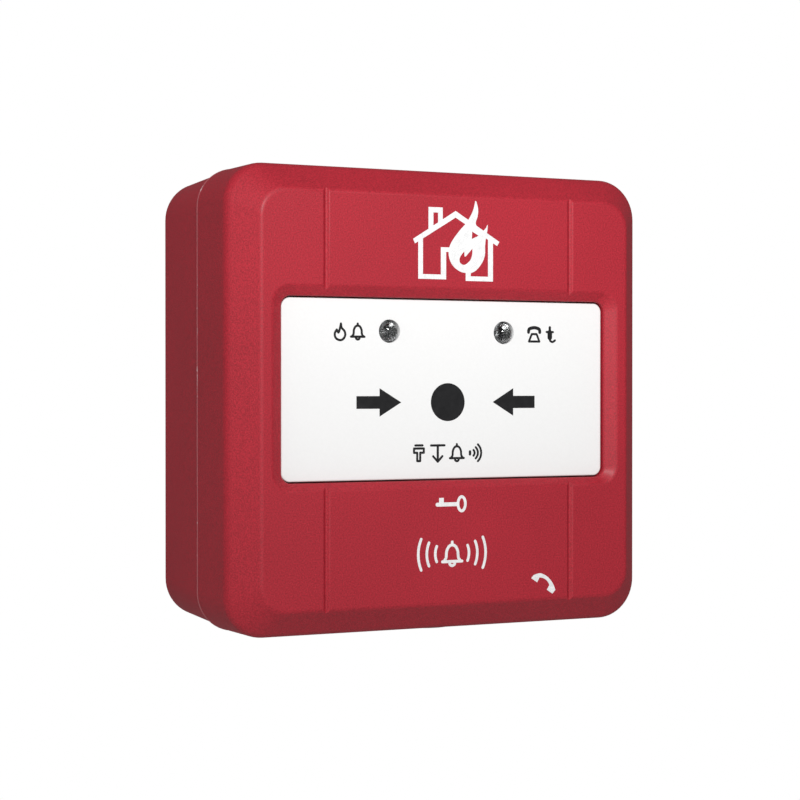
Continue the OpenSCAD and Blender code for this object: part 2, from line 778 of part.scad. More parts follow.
back_box();
front_cover();
press_plate();
inner_frame();
frame_screws();
plate_spring(-spring_x);  // plate_spring_left
plate_spring(spring_x);  // plate_spring_right
latch_slide();
latch_spring();
key_bush();
key_barrel();
barrel_clip();
circuit_board();
board_screws();
lamp(-led_x);  // lamp_fire
lamp(led_x);  // lamp_phone
lamp_leads();
lamp_spacers();
switch_case();
switch_button();
switch_lever();
switch_pins();
controller_chip();
chip_leads();
capacitor();
crystal_can();
resistors();
blade_header();
contact_blades();
terminal_block();
terminal_clamps();
terminal_screws();
socket_springs();
jack_body();
jack_sleeve();
jack_nut();
jack_contacts();
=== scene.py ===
"""Manual call point: the looks of its shells, press plate, lamps, printing, key lock and socket.

Drawings are in millimetres, with the wall in the plane y = 0 and the front towards -Y. Depths
are distances from the wall. Every finished mesh is put into metres, in the frame of the CAD.
"""

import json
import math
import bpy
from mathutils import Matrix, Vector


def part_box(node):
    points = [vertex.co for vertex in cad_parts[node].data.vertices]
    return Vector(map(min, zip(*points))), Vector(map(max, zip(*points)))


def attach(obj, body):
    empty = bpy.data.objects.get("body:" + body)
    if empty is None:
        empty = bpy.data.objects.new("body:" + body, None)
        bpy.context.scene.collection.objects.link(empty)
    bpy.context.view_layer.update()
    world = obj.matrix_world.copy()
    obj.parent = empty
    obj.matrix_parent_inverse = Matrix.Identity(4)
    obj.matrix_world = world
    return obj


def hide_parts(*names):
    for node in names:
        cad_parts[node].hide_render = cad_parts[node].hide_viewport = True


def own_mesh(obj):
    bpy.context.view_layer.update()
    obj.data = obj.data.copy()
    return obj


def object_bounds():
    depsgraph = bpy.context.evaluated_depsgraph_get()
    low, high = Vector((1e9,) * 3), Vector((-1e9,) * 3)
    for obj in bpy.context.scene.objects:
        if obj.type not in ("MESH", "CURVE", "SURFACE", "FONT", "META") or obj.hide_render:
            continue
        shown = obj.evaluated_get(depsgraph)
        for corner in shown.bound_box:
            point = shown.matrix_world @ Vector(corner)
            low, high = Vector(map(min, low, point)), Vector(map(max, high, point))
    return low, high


bl_info = {
    "name": "Manual call point",
    "version": (1, 0, 0),
    "blender": (4, 5, 0),
    "location": "View3D > Sidebar > Call point",
    "description": "Builds the moulded shells, the press plate, its lamps and the printing",
    "category": "Object",
}

from collections import namedtuple

import bmesh
import bpy
from mathutils import Matrix, Vector

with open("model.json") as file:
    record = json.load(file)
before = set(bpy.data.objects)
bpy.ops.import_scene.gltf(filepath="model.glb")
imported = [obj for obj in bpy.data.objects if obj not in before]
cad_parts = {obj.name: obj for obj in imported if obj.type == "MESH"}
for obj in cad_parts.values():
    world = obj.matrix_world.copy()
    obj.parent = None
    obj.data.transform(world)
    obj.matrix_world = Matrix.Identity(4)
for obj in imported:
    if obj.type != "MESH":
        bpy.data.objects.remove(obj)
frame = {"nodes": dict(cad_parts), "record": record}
CAD_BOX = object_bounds()
MOUNTS = {m["name"]: m for m in frame["record"]["mounts"]}

TOP, FRONT = (0.0, 0.0, 1.0), (0.0, -1.0, 0.0)

# Points of a drawing nearer to each other than this are one point, in millimetres
MERGE = 1e-5


def mm(metres):
    """A length, or the lengths of a vector, in millimetres"""
    return metres * 1000.0


def middle(node):
    """Middle of a CAD node, in millimetres"""
    low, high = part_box(node)
    return mm((Vector(low) + Vector(high)) / 2)


# ---------------------------------------------------------------- drawing

# One outline of a shell: its distance from the wall, half its width and height, the radius of
# its corners and the height of its centre
Ring = namedtuple("Ring", "depth half_w half_h radius centre", defaults=(0.0,))


def begin_ring(bm, ring, steps):
    """Rounded rectangle facing the front, from one square with bevelled corners"""
    square = bmesh.ops.create_grid(bm, x_segments=1, y_segments=1, size=1.0)["verts"]
    bmesh.ops.rotate(bm, verts=square, cent=(0, 0, 0), matrix=Matrix.Rotation(math.pi / 2, 3, "X"))
    bmesh.ops.scale(bm, verts=square, vec=(ring.half_w, 1.0, ring.half_h))
    bmesh.ops.bevel(bm, geom=square, offset=ring.radius, offset_type="OFFSET", affect="VERTICES",
                    segments=steps, profile=0.5, material=-1)
    face = bm.faces[:][-1]
    bmesh.ops.translate(bm, verts=face.verts[:], vec=(0, -ring.depth, ring.centre))
    return face


def next_ring(bm, edges, was, now):
    """Draws an outline on to the next ring, each corner point keeping its direction"""
    out = bmesh.ops.extrude_edge_only(bm, edges=edges)["geom"]
    verts = {g for g in out if isinstance(g, bmesh.types.BMVert)}
    for v in verts:
        side = 1 if v.co.x > 0 else -1
        rise = 1 if v.co.z > was.centre else -1
        old = (side * (was.half_w - was.radius), was.centre + rise * (was.half_h - was.radius))
        new = (side * (now.half_w - now.radius), now.centre + rise * (now.half_h - now.radius))
        grow = now.radius / was.radius
        v.co = (new[0] + (v.co.x - old[0]) * grow, -now.depth, new[1] + (v.co.z - old[1]) * grow)
    return [e for e in {e for v in verts for e in v.link_edges} if verts.issuperset(e.verts)]


def draw_rings(bm, rings, steps=12, closed=False):
    """Shell through rings. A closed one joins its last ring to its first; an open one is capped"""
    face = begin_ring(bm, rings[0], steps)
    first = edges = face.edges[:]
    if closed:
        bmesh.ops.delete(bm, geom=[face], context="FACES_ONLY")
    for was, now in zip(rings, rings[1:]):
        edges = next_ring(bm, edges, was, now)
    if closed:
        bmesh.ops.bridge_loops(bm, edges=first + edges)
    else:
        bmesh.ops.contextual_create(bm, geom=edges)


def turn(start, corner, end, steps=6):
    """Rings from start to end that curve round the corner ring"""
    rings = []
    for i in range(steps + 1):
        s = i / steps
        rings.append(Ring(*((1 - s) ** 2 * a + 2 * s * (1 - s) * b + s * s * c
                            for a, b, c in zip(start, corner, end))))
    return rings


def between(a, b, share):
    """Ring part of the way from a to b"""
    return Ring(*(p + (q - p) * share for p, q in zip(a, b)))


def softened(before, here, after, size, steps=4):
    """Rings that stand for the ring here, its corner eased by size"""
    reach = []
    for other in (before, after):
        gap = max(abs(here.depth - other.depth), abs(here.half_w - other.half_w))
        reach.append(between(here, other, size / gap))
    return turn(reach[0], here, reach[1], steps)


def block(bm, x0, x1, near, far, z0, z1):
    """Box between limits in X, distance from the wall, and Z"""
    made = bmesh.ops.create_cube(bm, size=1.0)["verts"]
    bmesh.ops.scale(bm, verts=made, vec=(x1 - x0, far - near, z1 - z0))
    bmesh.ops.translate(bm, verts=made, vec=((x0 + x1) / 2, -(near + far) / 2, (z0 + z1) / 2))


def lathe(bm, profile, at, axis, steps=64):
    """Spins a profile of (radius, height) points about an axis through at"""
    verts = [bm.verts.new((r, 0.0, h)) for r, h in profile]
    edges = [bm.edges.new(pair) for pair in zip(verts, verts[1:])]
    if profile[0][0] > 1e-6 and profile[-1][0] > 1e-6:
        edges.append(bm.edges.new((verts[-1], verts[0])))
    before = set(bm.verts).difference(verts)
    bmesh.ops.spin(bm, geom=verts + edges, cent=(0, 0, 0), axis=(0, 0, 1), dvec=(0, 0, 0),
                   angle=2 * math.pi, steps=steps, use_merge=True)
    bmesh.ops.remove_doubles(bm, verts=[v for v in bm.verts if v not in before], dist=MERGE)
    made = [v for v in bm.verts if v not in before]
    spin = Vector((0, 0, 1)).rotation_difference(Vector(axis)).to_matrix()
    bmesh.ops.rotate(bm, verts=made, cent=(0, 0, 0), matrix=spin)
    bmesh.ops.translate(bm, verts=made, vec=at)


def rod(bm, x, z, near, far, radius, steps=48):
    """Round rod square to the wall, drawn from the wall side"""
    lathe(bm, [(0, near), (radius, near), (radius, far), (0, far)], (x, 0, z), FRONT, steps)


def upright(bm, x, depth, z0, z1, radius, steps=48):
    """Round upright post"""
    lathe(bm, [(0, z0), (radius, z0), (radius, z1), (0, z1)], (x, -depth, 0), TOP, steps)


def draw_out(bm, points, way):
    """Solid drawn out from the flat face through points"""
    face = bm.faces.new([bm.verts.new(point) for point in points])
    drawn = bmesh.ops.extrude_face_region(bm, geom=[face])["geom"]
    bmesh.ops.translate(bm, verts=[g for g in drawn if isinstance(g, bmesh.types.BMVert)], vec=way)


def prism(bm, points, near, far):
    """Flat shape through (x, z) points, drawn out from one distance from the wall to another"""
    draw_out(bm, [(x, -near, z) for x, z in points], (0, near - far, 0))


# ---------------------------------------------------------------- pieces

def show(name, bm):
    """Puts a drawing into the scene as an object, doubles merged and faces turned outwards"""
    bmesh.ops.remove_doubles(bm, verts=bm.verts[:], dist=MERGE)
    bmesh.ops.recalc_face_normals(bm, faces=bm.faces[:])
    mesh = bpy.data.meshes.new(name)
    bm.to_mesh(mesh)
    bm.free()
    obj = bpy.data.objects.new(name, mesh)
    bpy.context.scene.collection.objects.link(obj)
    return obj


def combine(obj, bm, operation):
    """Joins a drawing to an object, or cuts it out, and keeps the result as its mesh"""
    tool = show("tool", bm)
    change = obj.modifiers.new("change", "BOOLEAN")
    change.operation = operation
    change.solver = "EXACT"
    change.use_self = True
    change.object = tool
    bpy.context.view_layer.update()
    evaluated = obj.evaluated_get(bpy.context.evaluated_depsgraph_get())
    mesh = bpy.data.meshes.new_from_object(evaluated)
    obj.modifiers.remove(change)
    spent = (obj.data, tool.data)
    obj.data = mesh
    bpy.data.objects.remove(tool)
    for unused in spent:
        bpy.data.meshes.remove(unused)
    if not mesh.polygons:
        raise RuntimeError(f"nothing was left of {obj.name}")


def finish_piece(obj, material, body, replaced=(), crease=30.0):
    """Puts a drawn object into metres, shades it, and ties it to its body and finish"""
    name, mesh = obj.name, obj.data
    mesh.name = name
    mesh.transform(Matrix.Scale(0.001, 4))
    mesh.materials.clear()
    mesh.materials.append(material)
    for polygon in mesh.polygons:
        polygon.material_index = 0
    mesh.shade_smooth()
    mesh.set_sharp_from_angle(angle=math.radians(crease))
    even = obj.modifiers.new("even shading", "WEIGHTED_NORMAL")
    even.keep_sharp = True
    even.weight = 80
    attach(obj, body)
    if replaced:
        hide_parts(*replaced)
    return obj


# ---------------------------------------------------------------- shader maths

class Wire:
    """A value in a material, on which Python arithmetic adds Math nodes"""

    def __init__(self, paint, socket):
        self.paint, self.socket = paint, socket

    def _math(self, operation, a, b):
        node = self.paint.add("ShaderNodeMath", dict(operation=operation), {0: a, 1: b})
        return Wire(self.paint, node.outputs[0])

    def __add__(self, other):
        return self._math("ADD", self, other)

    def __radd__(self, other):
        return self._math("ADD", other, self)

    def __sub__(self, other):
        return self._math("SUBTRACT", self, other)

    def __rsub__(self, other):
        return self._math("SUBTRACT", other, self)

    def __mul__(self, other):
        return self._math("MULTIPLY", self, other)

    def __rmul__(self, other):
        return self._math("MULTIPLY", other, self)

    def __truediv__(self, other):
        return self._math("DIVIDE", self, other)

    def __rtruediv__(self, other):
        return self._math("DIVIDE", other, self)

    def clipped(self):
        """The value held between nought and one"""
        return self._math("MAXIMUM", self._math("MINIMUM", self, 1.0), 0.0)


class Paint:
    """One material and the nodes that make it"""

    def __init__(self, name, **constants):
        self.material = bpy.data.materials.new(name)
        self.material.use_nodes = True
        self.tree = self.material.node_tree
        self.surface = self.tree.nodes["Principled BSDF"]
        for socket, value in constants.items():
            self.surface.inputs[socket.replace("_", " ")].default_value = value
        self.place = self.wire("ShaderNodeTexCoord", "Object")

    def add(self, kind, settings, values):
        """A node: its settings first, then the values or links of its sockets"""
        node = self.tree.nodes.new(kind)
        for name, setting in settings.items():
            if name == "stops":
                ramp = node.color_ramp.elements
                while len(ramp) < len(setting):
                    ramp.new(0.5)
                for element, (position, colour) in zip(ramp, setting):
                    element.position, element.color = position, (*colour, 1.0)
            else:
                setattr(node, name, setting)
        for name, value in values.items():
            if isinstance(value, Wire):
                self.tree.links.new(value.socket, node.inputs[name])
            else:
                node.inputs[name].default_value = value
        return node

    def wire(self, kind, output, settings=None, **values):
        """One output of a new node, whose sockets are named in values"""
        named = {k.replace("_", " "): v for k, v in values.items()}
        return Wire(self, self.add(kind, settings or {}, named).outputs[output])

    def feed(self, socket, value):
        """Links a value to the surface"""
        self.tree.links.new(value.socket, self.surface.inputs[socket])

    def noise(self, scale, detail=2.0, roughness=0.5, place=None):
        """Soft random pattern, its scale in cells a metre"""
        return self.wire("ShaderNodeTexNoise", "Fac", Vector=place or self.place, Scale=scale,
                         Detail=detail, Roughness=roughness)

    def stretched(self, scale, turn_by=(0.0, 0.0, 0.0)):
        """Object coordinates scaled apart along each axis"""
        return self.wire("ShaderNodeMapping", "Vector", Vector=self.place, Scale=scale,
                         Rotation=turn_by)

    def blend(self, share, a, b):
        """Colour between a and b"""
        node = self.add("ShaderNodeMix", dict(data_type="RGBA"), {})
        for index, value in ((0, share), (6, a), (7, b)):
            if isinstance(value, Wire):
                self.tree.links.new(value.socket, node.inputs[index])
            else:
                node.inputs[index].default_value = (*value, 1.0) if index else value
        return Wire(self, node.outputs[2])

    def bumps(self, height, depth):
        """Surface relief, its depth in metres"""
        self.feed("Normal", self.wire("ShaderNodeBump", "Normal", Height=height, Distance=depth,
                                      Strength=1.0))


def shaded(colour, factor):
    """A colour made lighter or darker"""
    return tuple(min(c * factor, 1.0) for c in colour)


def moulded_plastic(name, colour, grain, depth=0.00012, roughness=0.58, drift=0.3,
                    sheen=0.0, scuffed_edge_and_painted_highlight=None):
    """Injection-moulded plastic with a spark-eroded grain and a slight drift of colour

    The sheen is the share of smoother skin on the grain's tips. Along one edge of the part the
    colour is blended towards pale pink. Part of this is scuff chips, and part is an even band that
    is a painted highlight of the edge catching light. The last argument is that edge's distance
    from the wall, in metres.
    """
    p = Paint(name, Roughness=roughness, IOR=1.5, Specular_IOR_Level=0.37, Coat_Weight=sheen,
              Coat_Roughness=0.3)
    cloud = p.noise(26.0, 3.0, 0.55)
    pores = p.noise(1.0 / grain, 3.0, 0.62)
    fine = p.noise(2.6 / grain, 1.0)
    tone = (cloud - 0.5) * 0.5 + (pores - 0.5) * 2.6 + 0.5
    base = p.blend(tone.clipped(), shaded(colour, 1 - drift), shaded(colour, 1 + drift))
    # Near the parting edge: pale scuff chips, plus an even pale band all along it that is a painted
    # highlight of the edge catching light
    if scuffed_edge_and_painted_highlight:
        above, reach, scuff_and_highlight_pink = 0.00025, 0.0004, (0.85, 0.62, 0.64)
        away = p.wire("ShaderNodeSeparateXYZ", "Y", Vector=p.place) + scuffed_edge_and_painted_highlight + above
        near = (1.0 - away * away / reach ** 2).clipped()
        chips = ((p.noise(420.0, 2.0, 0.7) - 0.6) * 12.0).clipped()
        # The 0.22 share is the painted highlight band along the edge; the noise chips on top are
        # the scuffs
        base = p.blend(near * (chips * 0.7 + 0.22), base, scuff_and_highlight_pink)
    p.feed("Base Color", base)
    p.feed("Roughness", (pores - 0.5) * 0.3 + (cloud - 0.5) * 0.14 + roughness)
    p.bumps(pores * 0.7 + fine * 0.3, depth)
    return p.material


def printed_ink(name, colour, roughness=0.4):
    """Pad-printed ink: a thin film that follows the grain under it, with pinholes of tone"""
    p = Paint(name, Roughness=roughness, IOR=1.48)
    grain = p.noise(4200.0, 2.0)
    mottle = p.noise(900.0, 3.0, 0.6)
    tone = (grain - 0.5) * 1.4 + (mottle - 0.5) + 0.5
    p.feed("Base Color", p.blend(tone.clipped(), shaded(colour, 0.72), shaded(colour, 1.35)))
    p.feed("Roughness", (mottle - 0.5) * 0.3 + roughness)
    p.bumps(grain, 0.000006)
    return p.material


def cast_epoxy(name):
    """Clear cast epoxy with faint flow lines"""
    p = Paint(name, Base_Color=(0.5, 0.51, 0.53, 1.0), Roughness=0.02, IOR=1.54,
              Transmission_Weight=1.0)
    p.bumps(p.noise(500.0, 1.0), 0.000006)
    return p.material


def metal(name, colour, roughness=0.3, grain=(900.0, 900.0, 9000.0), depth=0.000003, drift=0.1):
    """Metal with fine drawing or turning marks and a little tarnish"""
    p = Paint(name, Metallic=1.0, Roughness=roughness)
    lines = p.noise(1.0, 2.0, 0.6, p.stretched(grain))
    stain = p.noise(180.0, 3.0, 0.6)
    p.feed("Base Color", p.blend(stain, shaded(colour, 1 - drift), shaded(colour, 1 + drift)))
    p.feed("Roughness", (lines - 0.5) * 0.25 + (stain - 0.5) * 0.2 + roughness)
    p.bumps(lines, depth)
    return p.material


def solder_mask(name, colour):
    """Glossy green lacquer over copper tracks that stand a little proud"""
    p = Paint(name, Roughness=0.25, IOR=1.5, Coat_Weight=0.3)
    tracks = p.wire("ShaderNodeTexBrick", "Fac", dict(offset=0.5, squash=1.0),
                    Vector=p.stretched((1.0, 1.0, 1.0), (math.pi / 2, 0, 0)), Scale=160.0,
                    Mortar_Size=0.012, Mortar_Smooth=0.2, Brick_Width=0.9, Row_Height=0.35)
    weave = p.noise(2500.0, 2.0)
    p.feed("Base Color", p.blend(tracks, colour, shaded(colour, 1.9)))
    p.feed("Roughness", (weave - 0.5) * 0.2 + 0.28)
    p.bumps(tracks * 0.8 + weave * 0.2, 0.00002)
    return p.material


# ---------------------------------------------------------------- what a user would change

def length_property(name, description, default):
    """Property for a length in metres"""
    return bpy.props.FloatProperty(name=name, description=description, default=default,
                                   subtype="DISTANCE", unit="LENGTH")


def angle_property(name, description, degrees):
    """Property for an angle"""
    return bpy.props.FloatProperty(name=name, description=description,
                                   default=math.radians(degrees), subtype="ANGLE",
                                   unit="ROTATION")


def colour_property(name, description, default):
    """Property for a colour"""
    return bpy.props.FloatVectorProperty(name=name, description=description, default=default,
                                         subtype="COLOR", size=3, min=0.0, max=1.0)


class CallPointShells(bpy.types.PropertyGroup):
    """The two red shells"""

    colour: colour_property("Red", "Colour of the moulded shells", (0.40, 0.014, 0.0283))
    grain: length_property("Grain", "Width of one pit of the moulded grain", 0.0003)
    bevel_width: length_property("Bevel width", "Width of the bevel round the front", 0.0056)
    bevel_depth: length_property("Bevel depth", "Depth of the bevel round the front", 0.0059)
    corner: length_property("Corner radius",
                            "Corner radius of the shells, seen from the front", 0.0085)
    wall: length_property("Wall", "Thickness of the side walls", 0.0022)
    taper: length_property("Taper",
                           "How much lower the cover is at its front, top and bottom", 0.0003)
    parting: length_property("Parting line", "Distance of the parting line from the wall", 0.0223)


class CallPointPlate(bpy.types.PropertyGroup):
    """The white press plate and its window"""

    colour: colour_property("White", "Colour of the press plate", (0.87, 0.87, 0.865))
    gap: length_property("Gap", "Gap between the plate and its window", 0.0003)
    edge: length_property("Edge", "Rounding of the plate's front edge", 0.00035)


class CallPointPrint(bpy.types.PropertyGroup):
    """The printing on the cover and the plate"""

    white: colour_property("White ink", "Ink on the red cover", (0.96, 0.96, 0.96))
    black: colour_property("Black ink", "Ink on the white plate", (0.012, 0.012, 0.013))
    film: length_property("Film", "Thickness of the ink", 0.00003)
    line: length_property("Line", "Width of the small symbols' lines", 0.00048)


class CallPointStage(bpy.types.PropertyGroup):
    """Floor, backdrop, lights and camera"""

    camera_at: bpy.props.FloatVectorProperty(
        name="Camera", description="Place of the camera", subtype="TRANSLATION", unit="LENGTH",
        size=3, default=(-0.1883, -0.4102, 0.0028))
    yaw: angle_property("Yaw", "Turn of the camera to the right of straight at the wall", 25.74)
    pitch: angle_property("Pitch", "Tilt of the camera, upwards", -0.39)
    lens: bpy.props.FloatProperty(
        name="Lens", description="Focal length on a 36 mm sensor", default=87.6)
    key_power: bpy.props.FloatProperty(
        name="Key light", description="Power of the soft light beside the camera, in watts",
        default=0.45)
    key_spread: angle_property("Key spread", "Angle over which the key light fades", 75)
    fill_power: bpy.props.FloatProperty(
        name="Fill light", description="Power of the light on the left, in watts", default=2.0)
    ambient: bpy.props.FloatProperty(
        name="Ambient", description="Brightness of the surroundings", default=0.18)
    floor_drop: length_property("Floor", "Distance of the floor below the object's middle", 1.25)


# ---------------------------------------------------------------- shells

WINDOW = Ring(43.6, 38.3, 19.2, 2.2, 2.2)
WINDOW_TOP = Ring(45.0, 40.8, 21.05, 4.0, 2.55)

# Heights of the snap hooks, places of the frame's bosses, and where the sockets of the key bush
# and the handset end
HOOKS = (-23.7, 28.6)
BOSSES = [(x, z) for x in (-41.5, 41.5) for z in (-21.5, 26.5)]
LOCK_END, SOCKET_END = -43.5, -44.5

# Share of smooth skin on the shells' grain
SHEEN = 0.12

# Thickness of the back box's tongue and of its base
TONGUE, BASE = 1.1, 2.4


def cover_rings(shells):
    """Outlines round the front cover's wall: up its outside, into the window, back inside"""
    half_w, half_h, front = mm(CAD_BOX[1].x), mm(CAD_BOX[1].z), -mm(CAD_BOX[0].y)
    wide, deep = mm(shells.bevel_width), mm(shells.bevel_depth)
    radius, wall, part = mm(shells.corner), mm(shells.wall), mm(shells.parting)

    def outside(depth, inset):
        lower = mm(shells.taper) * (depth - part) / (front - part)
        return Ring(depth, half_w - inset, half_h - inset - lower, radius - 0.5 * inset)

    low, high = outside(front - deep, 0), outside(front, wide)
    slope = math.hypot(wide, deep)
    rings = [outside(part, 0.2), outside(part + 0.06, -0.02), outside(part + 0.2, -0.07),
             outside(part + 0.45, 0)]
    rings += turn(outside(front - deep - 1.5, 0), low, between(low, high, 1.5 / slope), 8)
    rings += turn(between(high, low, 0.6 / slope), high, outside(front, wide + 0.6), 6)
    lip = WINDOW_TOP
    rings += turn(Ring(front, lip.half_w + 0.35, lip.half_h + 0.35, lip.radius + 0.3, lip.centre),
                  lip, between(lip, WINDOW, 0.2), 4)
    inner = Ring(40.0, *WINDOW[1:])
    rings += turn(between(WINDOW, lip, 0.12), WINDOW, between(WINDOW, inner, 0.08), 4)
    collar = Ring(40.0, inner.half_w + 1.7, inner.half_h + 1.7, inner.radius + 1.7, inner.centre)
    rings += [inner, collar, Ring(front - 2.6, *collar[1:])]
    rings += [Ring(front - 2.6, half_w - 5.8, half_h - 5.8, radius - wall - 2),
              Ring(front - deep - 0.5, half_w - wall, half_h - wall, radius - wall),
              Ring(part + 3.2, half_w - wall, half_h - wall, radius - wall),
              Ring(part + 3.2, half_w - 1.3, half_h - 1.3, radius - 1.3),
              Ring(part, half_w - 1.3, half_h - 1.3, radius - 1.3)]
    return rings


def groove_tool(bm, x, front, z0, z1, half=0.86, depth=0.55, steps=12):
    """Cutter with a softly rounded section, for a shallow groove along Z"""
    section = [(x - half, front + 1.0)]
    for i in range(steps + 1):
        s = -1 + 2 * i / steps
        section.append((x + s * half, front - depth * (0.5 + 0.5 * math.cos(math.pi * s))))
    section.append((x + half, front + 1.0))
    draw_out(bm, [(px, -depth_at, z0) for px, depth_at in section], (0, 0, z1 - z0))


class CALLPOINT_OT_cover(bpy.types.Operator):
    """Build the red front cover with its bevels, grooves, bosses and snap hooks"""

    bl_idname = "callpoint.cover"
    bl_label = "Front cover"

    def execute(self, context):
        shells = context.scene.call_point_shells
        front, bottom = -mm(CAD_BOX[0].y), mm(CAD_BOX[0].z)
        inside_w, inside_h = mm(CAD_BOX[1].x - shells.wall), mm(CAD_BOX[1].z - shells.wall)
        bm = bmesh.new()
        draw_rings(bm, cover_rings(shells), 14, closed=True)
        cover = show("cover_shell", bm)

        key, jack = middle("key_barrel"), middle("jack_sleeve")
        bm = bmesh.new()
        for x, z in BOSSES:
            rod(bm, x, z, 36.0, front - 2.4, 2.8, 32)
        upright(bm, jack.x, -jack.y, -inside_h - 0.2, SOCKET_END, 7.6)
        upright(bm, key.x, -key.y, -inside_h - 0.2, SOCKET_END, 7.2)
        arm, lip, root, back = 46.15, 46.95, inside_w + 0.2, 44.75
        for side in (-1, 1):
            for z in HOOKS:
                for out, near, far in ((arm, 17.0, 31.3), (root, 26.3, 31.3), (lip, 17.0, 18.6)):
                    block(bm, *sorted((side * out, side * back)), near, far, z - 4, z + 4)
        combine(cover, bm, "UNION")

        bm = bmesh.new()
        for x in (-28.85, 28.85):
            groove_tool(bm, x, front, 20.0, -bottom - mm(shells.bevel_width) + 0.5)
            groove_tool(bm, x, front, bottom + mm(shells.bevel_width) - 0.5, -17.0)
        lathe(bm, [(0, bottom - 1), (6.3, bottom - 1), (6.3, bottom + 0.02), (6.2, bottom + 0.12),
                   (6.2, bottom + 0.8), (5.2, bottom + 0.8), (5.2, LOCK_END), (0, LOCK_END)],
              (key.x, key.y, 0), TOP, 64)
        lathe(bm, [(0, bottom - 1), (6.35, bottom - 1), (6.35, bottom + 0.02), (6.2, bottom + 0.17),
                   (6.2, -47.2), (4.2, -47.2), (4.2, LOCK_END), (0, LOCK_END)],
              (jack.x, jack.y, 0), TOP, 64)
        for x, z in BOSSES:
            rod(bm, x, z, 35.0, 41.0, 1.2, 24)
        combine(cover, bm, "DIFFERENCE")
        # Along the parting edge the cover's red gets pale scuff chips and a painted highlight band
        red = moulded_plastic("red moulded shell", tuple(shells.colour), shells.grain,
                              sheen=SHEEN, scuffed_edge_and_painted_highlight=shells.parting)
        finish_piece(cover, red, "housing", ["front_cover"])
        return {"FINISHED"}


class CALLPOINT_OT_back_box(bpy.types.Operator):
    """Build the red back box with its tongue, slots, cable opening and knock-outs"""

    bl_idname = "callpoint.back_box"
    bl_label = "Back box"

    def execute(self, context):
        shells = context.scene.call_point_shells
        part, wall = mm(shells.parting), mm(shells.wall)
        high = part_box("back_box")[1]
        half_w, half_h, radius = mm(high.x), mm(high.z), mm(shells.corner)
        in_w, in_h, in_r = half_w - wall, half_h - wall, radius - wall

        def inset(depth, by, corner=radius, lower=0.0):
            return Ring(depth, half_w - by, half_h - by - lower, corner)

        foot, outer, inner = (inset(part, wall - TONGUE, in_r + TONGUE),
                              inset(part + 3, wall - TONGUE, in_r + TONGUE),
                              inset(part + 3, wall, in_r))
        rings = [
            inset(0, 0.5, lower=0.4), inset(0.12, 0.34, lower=0.4), inset(0.4, 0.3, lower=0.4),
            inset(part - 0.2, 0), inset(part, 0.2), foot, *softened(foot, outer, inner, 0.3),
            inner, inset(BASE, wall, in_r)]
        bm = bmesh.new()
        draw_rings(bm, rings, 14)
        box = show("back_shell", bm)

        bm = bmesh.new()
        block(bm, -9.0, 31.4, part + 0.001, part + 4, -half_h - 1, -in_h + 1)
        for side in (-1, 1):
            for z in HOOKS:
                catch = sorted((side * (in_w - 1), side * (in_w + 1)))
                block(bm, *catch, 16.4, 19.0, z - 5, z + 5)
                notch = sorted((side * (half_w - 0.8), side * (half_w + 1)))
                block(bm, *notch, part - 1.2, part + 0.05, z - 5.4, z + 5.4)
        slot = MOUNTS["wall_screws"]["dims"]
        radius = slot["hole_r_mm"]
        reach = slot["slot_length_mm"] / 2 - radius
        for x in (-slot["spacing_x_mm"] / 2, slot["spacing_x_mm"] / 2):
            arc = [(x + s * reach + radius * math.cos(a), radius * math.sin(a))
                   for s, start in ((1, -math.pi / 2), (-1, math.pi / 2))
                   for a in [start + math.pi * i / 16 for i in range(17)]]
            prism(bm, arc, -1.0, 3.4)
        cable = MOUNTS["cable_entry"]
        hole = cable["dims"]["r_mm"]
        lathe(bm, [(0, -1), (hole + 0.3, -1), (hole + 0.3, 0), (hole, 0.3), (hole, 3.4), (0, 3.4)],
              (mm(cable["pos_m"][0]), 0, mm(cable["pos_m"][2])), FRONT, 72)
        for side in (-1, 1):
            lathe(bm, [(7.8, half_h - 1), (8.4, half_h - 1), (8.4, half_h + 1), (7.8, half_h + 1)],
                  (0, -part / 2, 0), (0, 0, side), 64)
        combine(box, bm, "DIFFERENCE")
        red = moulded_plastic("red moulded box", tuple(shells.colour), shells.grain, sheen=SHEEN)
        finish_piece(box, red, "housing", ["back_box"])
        return {"FINISHED"}


# ---------------------------------------------------------------- press plate and lamps

LAMP_RADIUS = mm(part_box("lamp_fire")[1].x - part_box("lamp_fire")[0].x) / 2 - 0.4


